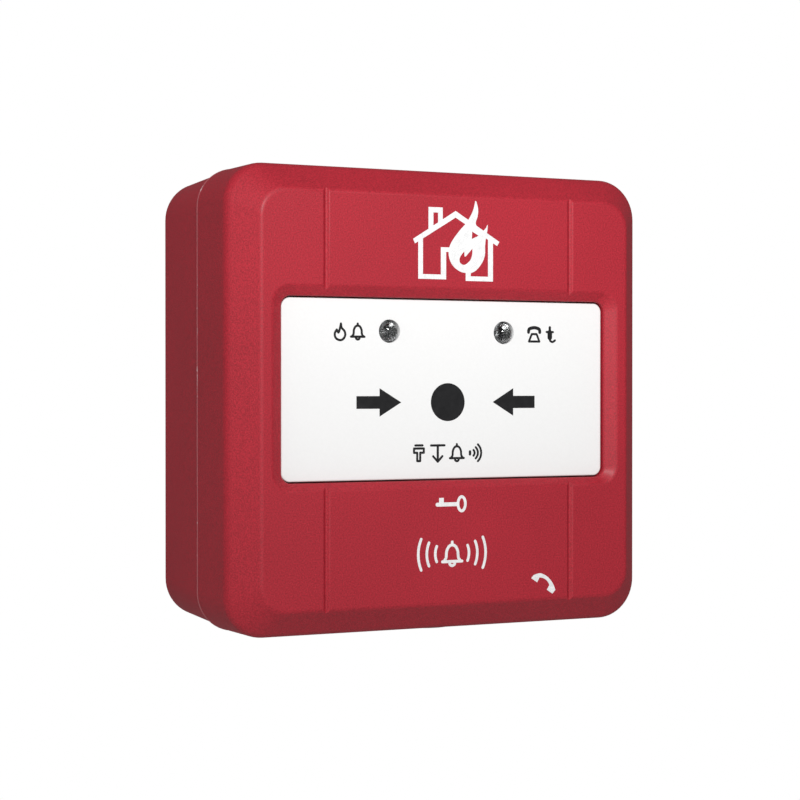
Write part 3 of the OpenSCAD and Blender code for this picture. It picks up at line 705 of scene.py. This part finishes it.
class CALLPOINT_OT_plate(bpy.types.Operator):
    """Build the white press plate with its posts, stem and lamp holes"""

    bl_idname = "callpoint.plate"
    bl_label = "Press plate"

    def execute(self, context):
        plate = context.scene.call_point_plate
        face = -mm(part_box("press_plate")[0].y)
        gap, edge, inner = mm(plate.gap), mm(plate.edge), face - 2.0
        half_w, half_h = WINDOW.half_w - gap, WINDOW.half_h - gap
        radius, z = WINDOW.radius - gap, WINDOW.centre
        rim = Ring(face, half_w, half_h, radius, z)
        rings = turn(Ring(face, half_w - edge, half_h - edge, radius - edge, z), rim,
                     Ring(face - edge, half_w, half_h, radius, z), 5)
        rings += [Ring(39.7, half_w, half_h, radius, z),
                  Ring(39.7, half_w + 1.3, half_h + 1.3, radius + 0.8, z),
                  Ring(38.5, half_w + 1.3, half_h + 1.3, radius + 0.8, z),
                  Ring(38.5, half_w - 1.5, half_h - 1.5, 0.8, z),
                  Ring(inner, half_w - 1.5, half_h - 1.5, 0.8, z)]
        bm = bmesh.new()
        draw_rings(bm, rings, 10)
        shell = show("plate_face", bm)

        bm = bmesh.new()
        root = inner + 0.5
        for x in (-33.0, 33.0):
            for dz in (-14.5, 14.5):
                lathe(bm, [(0, 32.0), (1.7, 32.0), (2.0, 32.3), (2.0, root), (0, root)],
                      (x, 0, z + dz), FRONT, 40)
        for x in (-24.0, 24.0):
            rod(bm, x, z, inner - 1.4, root, 1.8, 40)
        block(bm, -1.0, 1.0, 30.9, root, -16.0, -10.8)
        lathe(bm, [(0, 38.75), (0.4, 38.83), (0.75, 39.09), (0.95, 39.44), (1.0, 39.75),
                   (1.0, root), (0, root)], (5.0, 0, -5.0), FRONT, 32)
        combine(shell, bm, "UNION")

        bm = bmesh.new()
        block(bm, -2.0, 2.0, 31.9, 36.5, -15.0, -11.8)
        for node in ("lamp_fire", "lamp_phone"):
            at = middle(node)
            hole = LAMP_RADIUS + 0.22
            lathe(bm, [(0, 38.0), (hole, 38.0), (hole, face - 0.1), (hole + 0.05, face + 0.02),
                       (hole + 0.05, face + 1), (0, face + 1)], (at.x, 0, at.z), FRONT, 64)
        combine(shell, bm, "DIFFERENCE")
        white = moulded_plastic("white moulded plate", tuple(plate.colour), 0.0005, 0.000004,
                                0.5, 0.01)
        finish_piece(shell, white, "plate", ["press_plate"])
        return {"FINISHED"}


class CALLPOINT_OT_lamps(bpy.types.Operator):
    """Build the two clear indicator lamps, with the cup, post and wire inside each"""

    bl_idname = "callpoint.lamps"
    bl_label = "Indicator lamps"

    def execute(self, context):
        epoxy = cast_epoxy("clear lamp epoxy")
        tinned = metal("tinned lamp frame", (0.8, 0.8, 0.79), 0.22, (1500.0,) * 3, 0.000002)
        for node in ("lamp_fire", "lamp_phone"):
            low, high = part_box(node)
            at = (mm(low.x + high.x) / 2, 0, mm(low.z + high.z) / 2)
            tip, base = -mm(low.y), -mm(high.y)
            body = LAMP_RADIUS
            dome = tip - body
            profile = [(0, base), (body + 0.2, base), (body + 0.4, base + 0.2),
                       (body + 0.4, base + 0.8), (body + 0.25, base + 1.0), (body, base + 1.02)]
            profile += [(body * math.cos(a), dome + body * math.sin(a))
                        for a in [math.pi / 2 * i / 16 for i in range(17)]]
            profile[-1] = (0, tip)
            bm = bmesh.new()
            lathe(bm, profile, at, FRONT, 64)
            lens = show(node + "_lens", bm)
            finish_piece(lens, epoxy, "housing", [node], 40)

            bm = bmesh.new()
            cup_x, post_x = at[0] + 1.0, at[0] - 1.27
            lathe(bm, [(0, 38.6), (0.55, 38.6), (0.95, 39.6), (1.0, 40.5), (0.8, 40.55),
                       (0.5, 40.05), (0, 40.0)], (cup_x - 0.3, 0, at[2]), FRONT, 32)
            block(bm, cup_x - 1.0, cup_x + 0.6, 37.6, 39.4, at[2] - 0.25, at[2] + 0.25)
            block(bm, cup_x - 0.45, cup_x - 0.15, 40.0, 40.25, at[2] - 0.15, at[2] + 0.15)
            block(bm, post_x - 0.3, post_x + 0.45, 38.4, 40.3, at[2] - 0.25, at[2] + 0.25)
            lathe(bm, [(0.62, -0.03), (0.68, 0.0), (0.62, 0.03), (0.56, 0.0)],
                  (at[0] - 0.35, -40.4, at[2]), (0, 0, 1), 24)
            heart = show(node + "_heart", bm)
            finish_piece(heart, tinned, "housing")
        return {"FINISHED"}


# ---------------------------------------------------------------- key lock and socket

class CALLPOINT_OT_key_lock(bpy.types.Operator):
    """Build the turned key bush and barrel in the bottom face"""

    bl_idname = "callpoint.key_lock"
    bl_label = "Key lock"

    def execute(self, context):
        bottom = mm(CAD_BOX[0].z)
        at = (mm(MOUNTS["reset_keyway"]["pos_m"][0]), mm(MOUNTS["reset_keyway"]["pos_m"][1]), 0)
        zinc = metal("zinc die casting", (0.62, 0.62, 0.63), 0.34, (2200.0, 2200.0, 700.0))
        bm = bmesh.new()
        lathe(bm, [(4.48, bottom + 0.15), (4.63, bottom), (6.0, bottom), (6.15, bottom + 0.15),
                   (6.2, bottom + 0.8), (5.2, bottom + 0.8), (5.2, LOCK_END),
                   (3.58, LOCK_END), (3.58, bottom + 2.0), (4.48, bottom + 2.0)], at, TOP, 72)
        bush = show("key_bush_turned", bm)
        finish_piece(bush, zinc, "housing", ["key_bush"])

        low = bottom + 0.4
        bm = bmesh.new()
        lathe(bm, [(0, low), (4.2, low), (4.4, low + 0.2), (4.4, low + 1.5), (3.5, low + 1.5),
                   (3.5, -43.3), (2.8, -43.3), (2.8, -42.5), (3.5, -42.5), (3.5, -30.5),
                   (3.3, -30.3), (0, -30.3)], at, TOP, 72)
        barrel = show("key_barrel_turned", bm)
        bm = bmesh.new()
        spread = 2.2 * math.sin(math.pi / 4)
        upright(bm, at[0] - spread, -at[1] + spread, -31.3, -26.6, 0.9, 32)
        combine(barrel, bm, "UNION")
        bm = bmesh.new()
        lathe(bm, [(0, low - 1), (1.85, low - 1), (1.85, low), (1.6, low + 0.25), (1.6, low + 9),
                   (0, low + 9)], at, TOP, 48)
        block(bm, at[0] - 0.7, at[0] + 0.7, -at[1] - 0.5, -at[1] + 3.2, low - 1, low + 9)
        combine(barrel, bm, "DIFFERENCE")
        finish_piece(barrel, zinc, "key", ["key_barrel"])
        return {"FINISHED"}


class CALLPOINT_OT_socket(bpy.types.Operator):
    """Build the handset socket's sleeve and its slotted ring nut"""

    bl_idname = "callpoint.socket"
    bl_label = "Handset socket"

    def execute(self, context):
        mount = MOUNTS["handset_socket"]
        bore = mount["dims"]["r_mm"]
        at = (mm(mount["pos_m"][0]), mm(mount["pos_m"][1]), 0)
        bottom = mm(CAD_BOX[0].z)
        nickel = metal("nickel-plated socket", (0.72, 0.7, 0.66), 0.2, (2500.0, 2500.0, 900.0),
                       0.000002)
        bm = bmesh.new()
        lathe(bm, [(bore, bottom + 0.5), (bore + 0.4, bottom + 0.1), (4.05, bottom + 0.1),
                   (4.2, bottom + 0.25), (4.2, SOCKET_END), (bore, SOCKET_END)], at, TOP, 64)
        sleeve = show("socket_sleeve", bm)
        finish_piece(sleeve, nickel, "housing", ["jack_sleeve"])

        bm = bmesh.new()
        lathe(bm, [(4.2, -48.75), (4.35, -48.9), (5.5, -48.9), (5.8, -48.6), (5.8, -47.2),
                   (4.2, -47.2)], at, TOP, 64)
        nut = show("socket_nut", bm)
        bm = bmesh.new()
        for half_x, half_y in ((6.8, 0.7), (0.7, 6.8)):
            block(bm, at[0] - half_x, at[0] + half_x, -at[1] - half_y, -at[1] + half_y,
                  bottom - 1, -48.2)
        combine(nut, bm, "DIFFERENCE")
        finish_piece(nut, nickel, "housing", ["jack_nut"])
        return {"FINISHED"}


# ---------------------------------------------------------------- printing

def flowing(points, steps=6):
    """Smooth line through points"""
    ends = [points[0]] + list(points) + [points[-1]]
    line = []
    for a, b, c, d in zip(ends, ends[1:], ends[2:], ends[3:]):
        for i in range(steps):
            s = i / steps
            line.append(tuple(
                0.5 * (2 * q + (r - p) * s + (2 * p - 5 * q + 4 * r - t) * s * s
                       + (3 * q - p - 3 * r + t) * s ** 3)
                for p, q, r, t in zip(a, b, c, d)))
    return line + [tuple(points[-1])]


def arc(cx, cz, radius, start, end, steps=14):
    """Points on an arc, its ends in degrees"""
    turns = [math.radians(start + (end - start) * i / steps) for i in range(steps + 1)]
    return [(cx + radius * math.cos(a), cz + radius * math.sin(a)) for a in turns]


class Print:
    """Flat shapes of ink on one face, fused to a film"""

    def __init__(self, face, film):
        sunk = 0.03
        self.bm, self.near, self.far = bmesh.new(), face - sunk, face + film
        self.drawn = 0

    def shape(self, points, at=(0.0, 0.0), size=1.0):
        """Filled outline, each a trifle thicker than the last so that no two faces coincide"""
        self.drawn += 1
        step, steps = 0.00005, 40
        more = step * (self.drawn % steps)
        prism(self.bm, [(at[0] + x * size, at[1] + z * size) for x, z in points],
              self.near - more, self.far + more)

    def bar(self, x0, x1, z0, z1):
        """Filled rectangle"""
        self.shape([(x0, z0), (x1, z0), (x1, z1), (x0, z1)])

    def line(self, points, width, at=(0.0, 0.0), size=1.0):
        """Line of a given width with round joints and ends"""
        path = [(at[0] + x * size, at[1] + z * size) for x, z in points]
        for (x0, z0), (x1, z1) in zip(path, path[1:]):
            length = math.hypot(x1 - x0, z1 - z0)
            if length < 1e-6:
                continue
            nx, nz = (z0 - z1) / length * width / 2, (x1 - x0) / length * width / 2
            turned = math.degrees(math.atan2(nz, nx))
            self.shape(arc(x0, z0, width / 2, turned, turned + 180, 6)
                       + arc(x1, z1, width / 2, turned + 180, turned + 360, 6))

    def made(self, name, material, body, slot, holes=()):
        """Fuses the shapes, cuts the holes out of them and finishes the piece

        The cutter also has a block far aside, so that there is always something to cut with.
        """
        cutter = bmesh.new()
        aside = 200.0
        block(cutter, aside, aside + 1, self.near, self.far, 0, 1)
        for hole in holes:
            prism(cutter, hole, self.near - 0.1, self.far + 0.1)
        obj = show(name, self.bm)
        combine(obj, cutter, "DIFFERENCE")
        return finish_piece(obj, material, body)


def bell(ink, at, size, width):
    """Alarm bell in outline"""
    ink.line(flowing([(-1.35, -0.95), (-0.95, -0.45), (-0.85, 0.45), (-0.5, 1.1), (0, 1.3),
                      (0.5, 1.1), (0.85, 0.45), (0.95, -0.45), (1.35, -0.95)], 4), width, at, size)
    ink.line([(-1.5, -0.95), (1.5, -0.95)], width, at, size)
    ink.line([(0, 1.3), (0, 1.7)], width, at, size)
    ink.line(arc(0, -1.1, 0.42, 200, 340, 6), width, at, size)


class CALLPOINT_OT_cover_print(bpy.types.Operator):
    """Print the white symbols on the red cover: burning house, key, bell and handset"""

    bl_idname = "callpoint.cover_print"
    bl_label = "Printing on the cover"

    def execute(self, context):
        printing = context.scene.call_point_print
        film, front = mm(printing.film), -mm(CAD_BOX[0].y)
        white = printed_ink("white print", tuple(printing.white))

        house = Print(front, film)
        house.shape([(-9.2, 33.7), (0.8, 39.9), (11.3, 33.7), (10.75, 32.8), (0.8, 38.5),
                     (-8.75, 32.75)])
        house.bar(-5.6, -4.45, 35.7, 40.5)
        house.bar(-4.6, -3.2, 39.4, 40.5)
        house.bar(-3.35, -2.25, 37.0, 40.5)
        house.bar(-8.0, -6.9, 25.4, 34.0)
        house.bar(-7.0, -2.6, 25.4, 26.4)
        house.bar(-2.7, -1.45, 25.4, 32.15)
        house.bar(-1.55, 1.0, 31.2, 32.15)
        house.bar(3.2, 4.4, 25.2, 27.4)
        house.bar(4.3, 8.7, 25.2, 26.2)
        house.bar(8.55, 9.75, 25.2, 34.2)
        house.shape(
            flowing([(4.3, 26.8), (2.0, 27.1), (0.0, 28.5), (-0.85, 30.7), (-0.4, 32.9),
                     (1.4, 35.4), (3.1, 37.2), (4.2, 38.7), (5.0, 40.3), (5.5, 42.2)])
            + flowing([(5.7, 42.15), (6.15, 40.6), (6.05, 39.0), (5.6, 37.4), (6.4, 36.2)])
            + flowing([(7.4, 35.9), (8.0, 36.5), (8.45, 37.25), (8.4, 36.1), (8.1, 34.7),
                       (7.85, 32.8), (7.8, 30.8), (7.1, 29.1), (5.7, 27.5), (4.3, 26.8)])[:-1])
        gap = [(4.75, 35.7), (6.3, 34.85), (4.65, 34.1)]
        heart = flowing([(4.8, 32.1), (4.75, 30.8), (4.2, 29.5), (3.0, 28.6), (2.0, 28.85),
                         (1.7, 29.65), (2.05, 30.5), (2.85, 31.45)], 5)
        heart += flowing([(2.9, 31.1), (3.0, 30.3), (3.8, 31.0), (4.7, 32.0)], 5)
        house.made("print_house", white, "housing", "white_ink", [gap, heart])

        small = Print(front, film)
        small.line([(-3.5, -22.0), (1.2, -22.0)], 0.85)
        small.bar(-3.1, -2.0, -21.8, -20.6)
        ring = [(2.25 + 0.88 * math.cos(a), -21.95 + 1.5 * math.sin(a))
                for a in [2 * math.pi * i / 32 for i in range(33)]]
        small.line(ring, 0.62)
        small.made("print_key", white, "housing", "white_ink")

        mark = Print(front, film)
        bell(mark, (0.0, -32.6), 1.55, 0.62)
        for reach in (4.0, 6.0, 8.0):
            mark.line(arc(0, -32.4, reach, -24, 24, 8), 0.6)
            mark.line(arc(0, -32.4, reach, 156, 204, 8), 0.6)
        mark.made("print_bell", white, "housing", "white_ink")

        handset = Print(front, film)
        handset.shape(
            flowing([(19.7, -37.8), (21.3, -37.45), (23.0, -38.15), (24.4, -39.6), (25.15, -41.2)])
            + [(24.4, -42.0), (23.0, -41.1)]
            + flowing([(23.65, -40.1), (23.15, -39.25), (22.25, -38.6), (21.2, -38.35)])
            + [(20.6, -39.4), (19.15, -38.45)])
        handset.made("print_handset", white, "housing", "white_ink")
        return {"FINISHED"}


class CALLPOINT_OT_plate_print(bpy.types.Operator):
    """Print the black dot, arrows and small symbols on the press plate"""

    bl_idname = "callpoint.plate_print"
    bl_label = "Printing on the plate"

    def execute(self, context):
        printing = context.scene.call_point_print
        film, width = mm(printing.film), mm(printing.line)
        face = -mm(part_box("press_plate")[0].y)
        black = printed_ink("black print", tuple(printing.black))

        dot = Print(face, film)
        dot.shape(arc(0.08, -0.46, 4.02, 0, 360, 72)[:-1])
        dot.made("print_dot", black, "plate", "black_ink")
        for side, name in ((-1, "print_arrow_left"), (1, "print_arrow_right")):
            arrow = Print(face, film)
            arrow.shape([(side * x, -0.47 + z) for x, z in (
                (10.9, 0), (15.9, 2.96), (15.9, 1.32), (21.2, 1.32), (21.2, -1.32),
                (15.9, -1.32), (15.9, -2.96))])
            arrow.made(name, black, "plate", "black_ink")

        fire = Print(face, film)
        at = (-24.9, 14.1)
        fire.line(flowing([(0.2, 1.75), (0.35, 0.9), (1.0, 0.2), (1.15, -0.7), (0.6, -1.5),
                           (-0.2, -1.65), (-1.0, -1.2), (-1.2, -0.3), (-0.75, 0.5)], 4),
                  width, at)
        fire.line(flowing([(-0.75, 0.5), (-0.35, -0.1), (0.0, 0.9), (0.2, 1.75)], 4), width, at)
        bell(fire, (-20.9, 14.15), 1.02, width)
        fire.made("print_fire_label", black, "plate", "black_ink")

        phone = Print(face, film)
        at = (21.1, 14.1)
        phone.line(flowing([(-1.4, 0.5), (-1.2, 1.2), (0, 1.5), (1.2, 1.2), (1.4, 0.5)], 4),
                   width * 1.5, at)
        phone.line([(-0.6, 0.1), (-1.3, -1.5), (1.3, -1.5), (0.6, 0.1), (-0.6, 0.1)], width, at)
        at = (25.0, 14.1)
        phone.line([(0, 1.6), (0, 0.7)], width * 1.2, at)
        phone.line([(-0.8, 0.6), (0.8, 0.6)], width, at)
        phone.line([(0, 0.5), (0, -0.6)], width * 2.4, at)
        phone.line(flowing([(0, -0.7), (0.1, -1.3), (0.7, -1.55), (1.3, -1.2)], 4), width, at)
        phone.made("print_phone_label", black, "plate", "black_ink")

        press = Print(face, film)
        at = (-6.8, -11.3)
        press.line([(-1.1, 0.2), (-1.1, 1.1), (1.2, 1.1), (1.2, 0.2), (0.35, 0.2), (0.35, -1.55),
                    (-0.35, -1.55), (-0.35, 0.2), (-1.1, 0.2)], width, at)
        press.line([(-0.8, 1.75), (0.9, 1.75)], width, at)
        at = (-2.3, -11.3)
        press.line([(-1.6, 1.7), (1.6, 1.7)], width, at)
        press.line([(0, 1.7), (0, -1.7)], width * 1.1, at)
        press.line([(-1.1, -0.6), (0, -1.75), (1.1, -0.6)], width, at)
        bell(press, (2.25, -11.3), 1.12, width)
        at = (6.0, -11.3)
        for reach in (0.8, 1.6, 2.4):
            press.line(arc(-0.3, 0, reach, -48, 48, 8), width, at)
        press.line([(-0.6, -0.3), (-0.6, 0.3)], width * 1.2, at)
        press.made("print_press_label", black, "plate", "black_ink")
        return {"FINISHED"}


# ---------------------------------------------------------------- inner parts and stage

class CALLPOINT_OT_inner_finishes(bpy.types.Operator):
    """Give every part that keeps its own shape the finish of its material"""

    bl_idname = "callpoint.inner_finishes"
    bl_label = "Finishes of the inner parts"

    def execute(self, context):
        finishes = {
            "black_plastic": moulded_plastic("black nylon", (0.02, 0.02, 0.022), 0.0004,
                                             0.000012, 0.45, 0.06),
            "ivory_plastic": moulded_plastic("ivory acetal", (0.72, 0.66, 0.5), 0.0006,
                                             0.000006, 0.35, 0.03),
            "board_green": solder_mask("green solder mask", (0.012, 0.11, 0.05)),
            "steel": metal("zinc-plated steel", (0.6, 0.61, 0.62), 0.32),
            "spring_steel": metal("spring wire", (0.62, 0.62, 0.64), 0.18),
            "brass": metal("brass strip", (0.75, 0.55, 0.24), 0.25),
            "tin": metal("tinned leads", (0.76, 0.76, 0.75), 0.3, (1500.0,) * 3),
        }
        for part in frame["record"]["subparts"]:
            node = frame["nodes"][part["node"]]
            finish = finishes.get(part["material_slot"])
            if finish is None:
                continue
            if not node.data.materials:
                node.data.materials.append(finish)
            for slot in node.material_slots:
                slot.material = finish
        return {"FINISHED"}


class CALLPOINT_OT_springs(bpy.types.Operator):
    """Put in the coil springs, copies of their CAD parts tied to the housing"""

    bl_idname = "callpoint.springs"
    bl_label = "Coil springs"

    def execute(self, context):
        for joint in frame["record"]["behaviour"]["joints"]:
            for spring in joint.get("deforming_nodes", ()):
                node = spring["node"]
                coil = bpy.data.objects.new(node + "_coil", frame["nodes"][node].data.copy())
                context.scene.collection.objects.link(coil)
                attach(coil, "housing")
                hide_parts(node)
                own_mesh(coil)
        return {"FINISHED"}


class CALLPOINT_OT_stage(bpy.types.Operator):
    """Set up the pale floor, the white backdrop, the soft lights and the camera"""

    bl_idname = "callpoint.stage"
    bl_label = "Stage"

    def execute(self, context):
        scene, stage = context.scene, context.scene.call_point_stage
        p = Paint("pale floor", Roughness=0.7, Emission_Color=(1, 1, 1, 1),
                  Emission_Strength=0.4)
        speckle = p.noise(60.0, 4.0)
        p.feed("Base Color", p.blend(speckle, (0.84, 0.84, 0.84), (0.88, 0.88, 0.88)))
        p.bumps(speckle, 0.0002)
        bm = bmesh.new()
        bmesh.ops.create_circle(bm, cap_ends=True, segments=96, radius=4.5)
        bmesh.ops.translate(bm, verts=bm.verts[:], vec=(0, 0, -stage.floor_drop))
        floor = show("floor", bm)
        floor.data.materials.append(p.material)
        floor.visible_glossy = False

        glow = Paint("white backdrop", Base_Color=(0, 0, 0, 1), Specular_IOR_Level=0.0,
                     Emission_Color=(1, 1, 1, 1), Emission_Strength=1.0)
        bm = bmesh.new()
        bmesh.ops.create_icosphere(bm, subdivisions=4, radius=5.0)
        dome = show("backdrop", bm)
        dome.data.materials.append(glow.material)
        for kind in ("diffuse", "glossy", "transmission", "volume_scatter", "shadow"):
            setattr(dome, "visible_" + kind, False)

        world = bpy.data.worlds.new("soft surroundings")
        world.use_nodes = True
        world.node_tree.nodes["Background"].inputs["Color"].default_value = (1, 1, 1, 1)
        world.node_tree.nodes["Background"].inputs["Strength"].default_value = stage.ambient
        scene.world = world

        def soft_light(name, at, aim, size, power, spread):
            lamp = bpy.data.lights.new(name, "AREA")
            lamp.shape, lamp.size, lamp.energy, lamp.spread = "DISK", size, power, spread
            obj = bpy.data.objects.new(name, lamp)
            obj.location = at
            obj.rotation_euler = (Vector(aim) - Vector(at)).to_track_quat("-Z", "Y").to_euler()
            obj.visible_camera = False
            scene.collection.objects.link(obj)

        soft_light("key light", (-0.17, -0.46, 0.2), (0.03, -0.045, 0.08), 0.16,
                   stage.key_power, stage.key_spread)
        soft_light("fill light", (-1.4, -0.3, 0.4), (0, 0, 0), 0.9, stage.fill_power, math.pi)

        lens = bpy.data.cameras.new("camera")
        lens.lens, lens.sensor_width = stage.lens, 36.0
        lens.clip_start, lens.clip_end = 0.02, 20.0
        camera = bpy.data.objects.new("camera", lens)
        camera.location = stage.camera_at
        camera.rotation_euler = (math.pi / 2 + stage.pitch, 0.0, -stage.yaw)
        scene.collection.objects.link(camera)
        scene.camera = camera
        scene.view_settings.view_transform = "Standard"
        return {"FINISHED"}


# ---------------------------------------------------------------- add-on

GROUPS = {
    "call_point_shells": CallPointShells,
    "call_point_plate": CallPointPlate,
    "call_point_print": CallPointPrint,
    "call_point_stage": CallPointStage,
}
OPERATORS = (
    CALLPOINT_OT_cover,
    CALLPOINT_OT_back_box,
    CALLPOINT_OT_plate,
    CALLPOINT_OT_lamps,
    CALLPOINT_OT_key_lock,
    CALLPOINT_OT_socket,
    CALLPOINT_OT_cover_print,
    CALLPOINT_OT_plate_print,
    CALLPOINT_OT_inner_finishes,
    CALLPOINT_OT_springs,
    CALLPOINT_OT_stage,
)


class CALLPOINT_PT_panel(bpy.types.Panel):
    """Sizes, colours and building steps of the call point"""

    bl_idname = "CALLPOINT_PT_panel"
    bl_label = "Manual call point"
    bl_space_type = "VIEW_3D"
    bl_region_type = "UI"
    bl_category = "Call point"

    def draw(self, context):
        for name, group in GROUPS.items():
            column = self.layout.column()
            column.label(text=group.__doc__)
            for prop in group.__annotations__:
                column.prop(getattr(context.scene, name), prop)
        for operator in OPERATORS:
            self.layout.operator(operator.bl_idname)


def register():
    """Adds the classes and the scene's settings"""
    for cls in (*GROUPS.values(), *OPERATORS, CALLPOINT_PT_panel):
        bpy.utils.register_class(cls)
    for name, group in GROUPS.items():
        setattr(bpy.types.Scene, name, bpy.props.PointerProperty(type=group))


def unregister():
    """Removes them again"""
    for name in GROUPS:
        delattr(bpy.types.Scene, name)
    for cls in (CALLPOINT_PT_panel, *reversed(OPERATORS), *reversed(GROUPS.values())):
        bpy.utils.unregister_class(cls)


def main():
    """Builds everything in order"""
    register()
    for operator in OPERATORS:
        group, name = operator.bl_idname.split(".")
        getattr(getattr(bpy.ops, group), name)()


if __name__ == "__main__":
    main()
